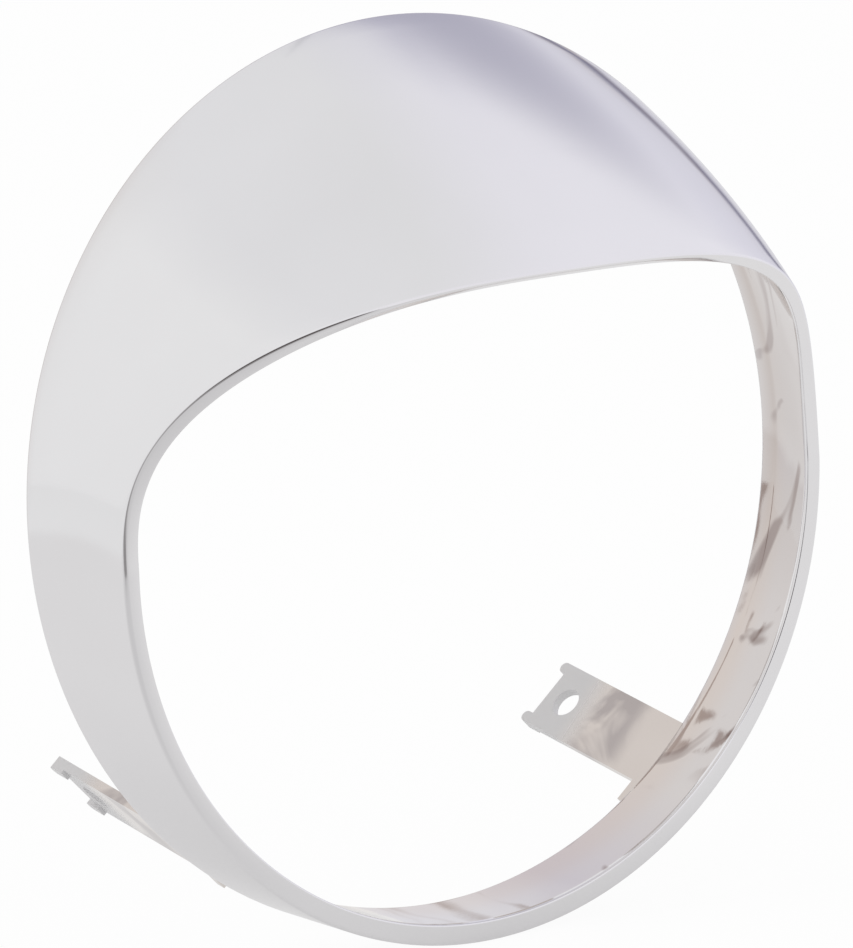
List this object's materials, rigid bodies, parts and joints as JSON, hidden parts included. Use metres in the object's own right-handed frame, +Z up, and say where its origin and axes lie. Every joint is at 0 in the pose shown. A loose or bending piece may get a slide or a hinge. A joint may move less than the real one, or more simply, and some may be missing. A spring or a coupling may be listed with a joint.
{
  "type": "headlight rim",
  "caption": "Chromed one-piece headlight rim for a motorbike or scooter, with a brow over the lamp opening and a pair of rear fixing tabs.",
  "frame": {"origin": "centre of the rear edge's circle, where the rim meets the lamp housing", "axes": "-Y is the front the lamp shines to, +Z is up with the brow on top, +X is to the right seen from the front; the part is mirrored about X = 0"},
  "size_m": [0.1796, 0.0992, 0.1811],
  "materials": {
    "chrome": "bright chrome plating on a moulded plastic, polished outside and in"
  },
  "bodies": {
    "root": {"rim": "chrome"}
  },
  "joints": []
}
